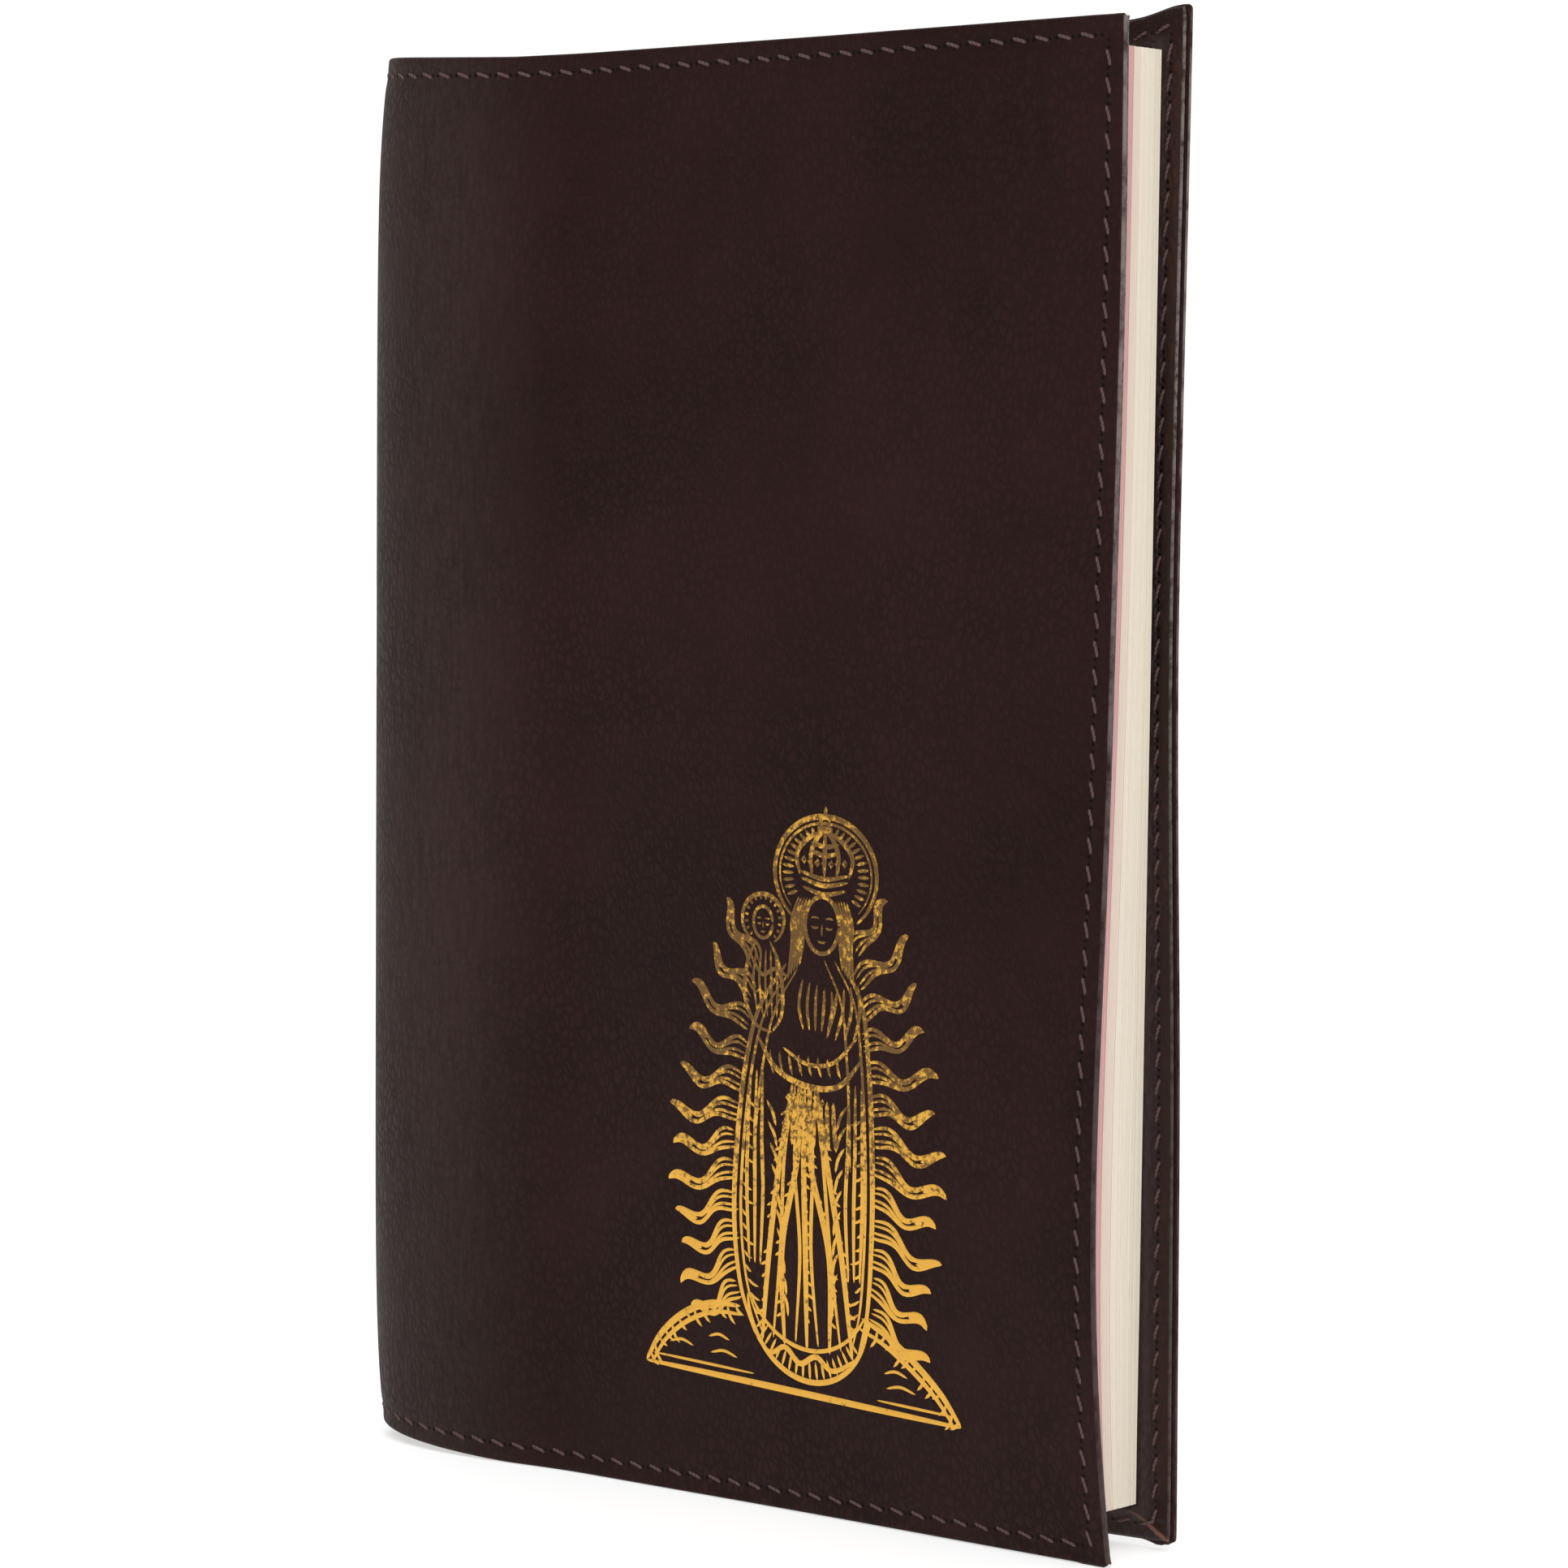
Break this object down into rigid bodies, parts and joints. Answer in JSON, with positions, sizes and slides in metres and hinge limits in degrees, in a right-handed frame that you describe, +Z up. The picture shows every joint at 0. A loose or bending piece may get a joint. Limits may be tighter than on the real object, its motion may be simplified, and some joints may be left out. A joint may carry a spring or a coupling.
{
  "type": "prayer book in a leather jacket",
  "caption": "Thin upright prayer book in a soft stitched leather jacket with inner pockets, cream leaves with a tinted section and a gold foil figure; both covers open and the leaves fan.",
  "frame": {"origin": "middle of the bottom of the box around the standing book", "axes": "+Z up along the book's height, -Y out of the front cover, +Y out of the back cover, -X the spine, +X the fore-edge"},
  "size_m": [0.137, 0.0193, 0.2],
  "materials": {
    "jacket_leather": "soft fine-grained dark brown leather with a low sheen",
    "lining_leather": "thinner dark brown leather, slightly glossier",
    "seam_thread": "twisted brown sewing thread",
    "gold_foil": "hot-stamped gold foil, mottled where it is thin",
    "cover_board": "plain grey-brown book board",
    "endpaper": "matte cream paper",
    "leaf_paper": "matte cream book paper, cut edge",
    "tinted_paper": "matte pink-tinted paper",
    "gauze": "open-weave binding gauze",
    "spine_paper": "brown paper glued over the gauze",
    "band_cloth": "small woven end band",
    "sewing_thread": "waxed linen thread"
  },
  "bodies": {
    "text_block": {"spine_leather": "jacket_leather", "spine_stitching": "seam_thread", "gathering_2": "leaf_paper", "gathering_3": "leaf_paper", "sewing_thread": "sewing_thread", "spine_gauze": "gauze", "book_spine": "spine_paper", "head_band": "band_cloth", "tail_band": "band_cloth"},
    "front_cover": {"front_cover_leather": "jacket_leather", "front_pocket": "lining_leather", "front_stitching": "seam_thread", "gold_figure": "gold_foil", "front_board": "cover_board", "front_pastedown": "endpaper"},
    "front_endleaf": {"front_flyleaf": "endpaper"},
    "first_leaves": {"gathering_1": "leaf_paper"},
    "tinted_leaves": {"tinted_section": "tinted_paper"},
    "back_cover": {"back_cover_leather": "jacket_leather", "back_pocket": "lining_leather", "back_stitching": "seam_thread", "back_board": "cover_board", "back_pastedown": "endpaper"},
    "back_endleaf": {"back_flyleaf": "endpaper"},
    "last_leaves": {"gathering_5": "leaf_paper"},
    "later_leaves": {"gathering_4": "leaf_paper"}
  },
  "joints": [
    {"name": "front_cover_fold", "type": "hinge", "parent": "text_block", "child": "front_cover", "pos_m": [-0.0625, -0.00526, 0.1], "axis": [0, 0, -1], "range_deg": [0, 170]},
    {"name": "front_flyleaf_turn", "type": "hinge", "parent": "text_block", "child": "front_endleaf", "pos_m": [-0.0619, -0.00243, 0.101], "axis": [0, 0, -1], "range_deg": [0, 82]},
    {"name": "first_leaves_turn", "type": "hinge", "parent": "text_block", "child": "first_leaves", "pos_m": [-0.0619, -0.00211, 0.101], "axis": [0, 0, -1], "range_deg": [0, 40]},
    {"name": "tinted_leaves_turn", "type": "hinge", "parent": "text_block", "child": "tinted_leaves", "pos_m": [-0.0619, -0.00061, 0.101], "axis": [0, 0, -1], "range_deg": [0, 19]},
    {"name": "back_cover_fold", "type": "hinge", "parent": "text_block", "child": "back_cover", "pos_m": [-0.0625, 0.00922, 0.1], "axis": [0, 0, 1], "range_deg": [0, 170]},
    {"name": "back_flyleaf_turn", "type": "hinge", "parent": "text_block", "child": "back_endleaf", "pos_m": [-0.0619, 0.00673, 0.101], "axis": [0, 0, 1], "range_deg": [0, 82]},
    {"name": "last_leaves_turn", "type": "hinge", "parent": "text_block", "child": "last_leaves", "pos_m": [-0.0619, 0.00641, 0.101], "axis": [0, 0, 1], "range_deg": [0, 40]},
    {"name": "later_leaves_turn", "type": "hinge", "parent": "text_block", "child": "later_leaves", "pos_m": [-0.0619, 0.00491, 0.101], "axis": [0, 0, 1], "range_deg": [0, 19]}
  ],
  "couplings": [
    {"joint": "front_flyleaf_turn", "follows": "front_cover_fold", "ratio": 0.48},
    {"joint": "first_leaves_turn", "follows": "front_cover_fold", "ratio": 0.23},
    {"joint": "tinted_leaves_turn", "follows": "front_cover_fold", "ratio": 0.11},
    {"joint": "back_flyleaf_turn", "follows": "back_cover_fold", "ratio": 0.48},
    {"joint": "last_leaves_turn", "follows": "back_cover_fold", "ratio": 0.23},
    {"joint": "later_leaves_turn", "follows": "back_cover_fold", "ratio": 0.11}
  ]
}
